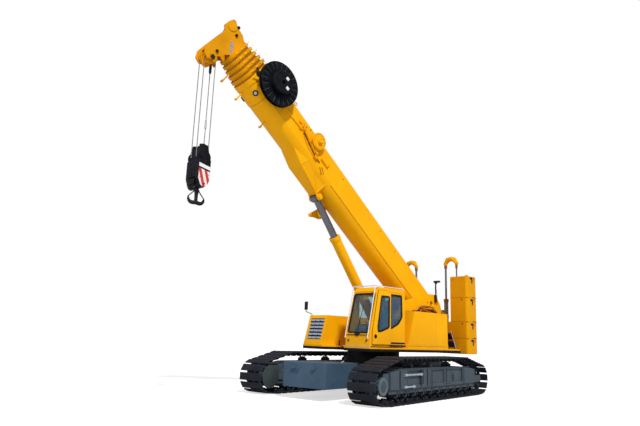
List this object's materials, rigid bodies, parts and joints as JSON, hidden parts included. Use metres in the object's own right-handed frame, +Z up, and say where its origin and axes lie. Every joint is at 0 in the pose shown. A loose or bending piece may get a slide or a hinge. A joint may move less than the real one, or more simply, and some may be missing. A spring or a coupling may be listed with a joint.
{
  "type": "crawler crane",
  "caption": "Telescopic crawler crane with a luffing box boom, sliding boom sections, slewing upper machine, tilting cab, hook block and ballast stacks.",
  "frame": {"origin": "on the ground under the slewing ring's centre", "axes": "+X where the boom points in plan, +Y to the operator's left, +Z up; the tracks stand turned by 9 degrees about Z"},
  "size_m": [11.7123, 6.129, 10.8798],
  "materials": {
    "yellow_paint": "semi-gloss",
    "dark_paint": "semi-gloss",
    "grey_paint": "satin",
    "track_steel": "worn",
    "bright_steel": "brushed",
    "chrome_rod": "polished",
    "glass": "clear",
    "dark_plastic": "matte",
    "rope_steel": "stranded",
    "cast_weight": "painted",
    "reel_plastic": "matte"
  },
  "bodies": {
    "undercarriage": {"carbody": "grey_paint", "slewing_ring": "track_steel", "carbody_ballast": "grey_paint", "track_left": "track_steel", "track_right": "track_steel", "track_frame_left": "dark_paint", "track_frame_right": "dark_paint", "track_wheels_left": "track_steel", "track_wheels_right": "track_steel", "final_drive_left": "dark_paint", "final_drive_right": "dark_paint"},
    "superstructure": {"deck_frame": "yellow_paint", "engine_hood": "yellow_paint", "hood_grille": "bright_steel", "engine_block": "track_steel", "side_locker": "yellow_paint", "counterweight_base": "cast_weight", "counterweight_slabs_left": "cast_weight", "counterweight_slabs_right": "cast_weight", "ballast_arms": "yellow_paint", "upper_fittings": "dark_paint"},
    "main_winch": {"main_winch": "dark_paint"},
    "auxiliary_winch": {"auxiliary_winch": "dark_paint"},
    "cab": {"cab_shell": "yellow_paint", "cab_glass": "glass", "cab_interior": "dark_plastic", "cab_handrails": "dark_paint"},
    "cab_door": {"cab_door": "yellow_paint", "cab_door_glass": "glass"},
    "boom": {"boom_base": "yellow_paint", "boom_fittings": "yellow_paint"},
    "cable_reel": {"cable_reel": "reel_plastic"},
    "section_1": {"boom_section_1": "yellow_paint"},
    "section_2": {"boom_section_2": "yellow_paint"},
    "section_3": {"boom_section_3": "yellow_paint"},
    "section_4": {"boom_section_4": "yellow_paint"},
    "section_5": {"boom_section_5": "yellow_paint", "boom_head": "yellow_paint"},
    "head_sheaves": {"head_sheaves": "dark_paint"},
    "cylinder_rod": {"luffing_rod": "chrome_rod"},
    "cylinder_barrel": {"luffing_barrel": "yellow_paint"},
    "hook_block": {"hook_block": "dark_paint", "hoist_ropes": "rope_steel"},
    "block_sheaves": {"block_sheaves": "dark_paint"},
    "hook": {"crane_hook": "track_steel"}
  },
  "joints": [
    {"name": "slew", "type": "hinge", "parent": "undercarriage", "child": "superstructure", "pos_m": [0, 0, 1.38], "axis": [0, 0, 1], "continuous": true},
    {"name": "luff", "type": "hinge", "parent": "superstructure", "child": "boom", "pos_m": [-2.74, 0, 2.88], "axis": [0, -1, 0], "range_deg": [-37.8, 45.2]},
    {"name": "cylinder_swing", "type": "hinge", "parent": "boom", "child": "cylinder_rod", "pos_m": [2.91085, 0, 6.20017], "axis": [0, -1, 0], "range_deg": [-6.17, 7.28]},
    {"name": "cylinder_stroke", "type": "slide", "parent": "cylinder_rod", "child": "cylinder_barrel", "axis": [-0.6109, 0, -0.7917], "range_m": [-1.29148, 1.54333]},
    {"name": "telescope_1", "type": "slide", "parent": "boom", "child": "section_1", "axis": [0.7902, 0, 0.6129], "range_m": [0, 7.6]},
    {"name": "telescope_2", "type": "slide", "parent": "section_1", "child": "section_2", "axis": [0.7902, 0, 0.6129], "range_m": [0, 7.6]},
    {"name": "telescope_3", "type": "slide", "parent": "section_2", "child": "section_3", "axis": [0.7902, 0, 0.6129], "range_m": [0, 7.6]},
    {"name": "telescope_4", "type": "slide", "parent": "section_3", "child": "section_4", "axis": [0.7902, 0, 0.6129], "range_m": [0, 7.6]},
    {"name": "telescope_5", "type": "slide", "parent": "section_4", "child": "section_5", "axis": [0.7902, 0, 0.6129], "range_m": [0, 7.6]},
    {"name": "reel_turn", "type": "hinge", "parent": "boom", "child": "cable_reel", "pos_m": [5.21524, 0, 9.15196], "axis": [0, 1, 0], "continuous": true},
    {"name": "sheave_turn", "type": "hinge", "parent": "section_5", "child": "head_sheaves", "pos_m": [7.2872, 0, 9.41763], "axis": [0, 1, 0], "continuous": true},
    {"name": "hook_hang", "type": "hinge", "parent": "section_5", "child": "hook_block", "pos_m": [7.2872, 0, 9.41763], "axis": [0, 1, 0], "range_deg": [-37.8, 45.2]},
    {"name": "block_sheave_turn", "type": "hinge", "parent": "hook_block", "child": "block_sheaves", "pos_m": [7.2872, 0, 6.44], "axis": [0, 1, 0], "continuous": true},
    {"name": "hook_swivel", "type": "hinge", "parent": "hook_block", "child": "hook", "pos_m": [7.2872, 0, 5.6], "axis": [0, 0, 1], "continuous": true},
    {"name": "cab_tilt", "type": "hinge", "parent": "superstructure", "child": "cab", "pos_m": [0.06, 0.97, 1.6], "axis": [0, -1, 0], "range_deg": [0, 15]},
    {"name": "cab_door_slide", "type": "slide", "parent": "cab", "child": "cab_door", "axis": [-1, 0, 0], "range_m": [0, 0.7]},
    {"name": "main_winch_turn", "type": "hinge", "parent": "superstructure", "child": "main_winch", "pos_m": [-3.56, 0, 2.62], "axis": [0, 1, 0], "continuous": true},
    {"name": "auxiliary_winch_turn", "type": "hinge", "parent": "superstructure", "child": "auxiliary_winch", "pos_m": [-2.45, 0, 1.86], "axis": [0, 1, 0], "continuous": true}
  ],
  "couplings": [
    {"joint": "cylinder_swing", "follows": "luff", "ratio": 0.15},
    {"joint": "cylinder_stroke", "follows": "luff", "m_per_rad": 1.95},
    {"joint": "hook_hang", "follows": "luff", "ratio": 1},
    {"joint": "telescope_2", "follows": "telescope_1", "ratio": 1},
    {"joint": "telescope_3", "follows": "telescope_1", "ratio": 1},
    {"joint": "telescope_4", "follows": "telescope_1", "ratio": 1},
    {"joint": "telescope_5", "follows": "telescope_1", "ratio": 1}
  ]
}
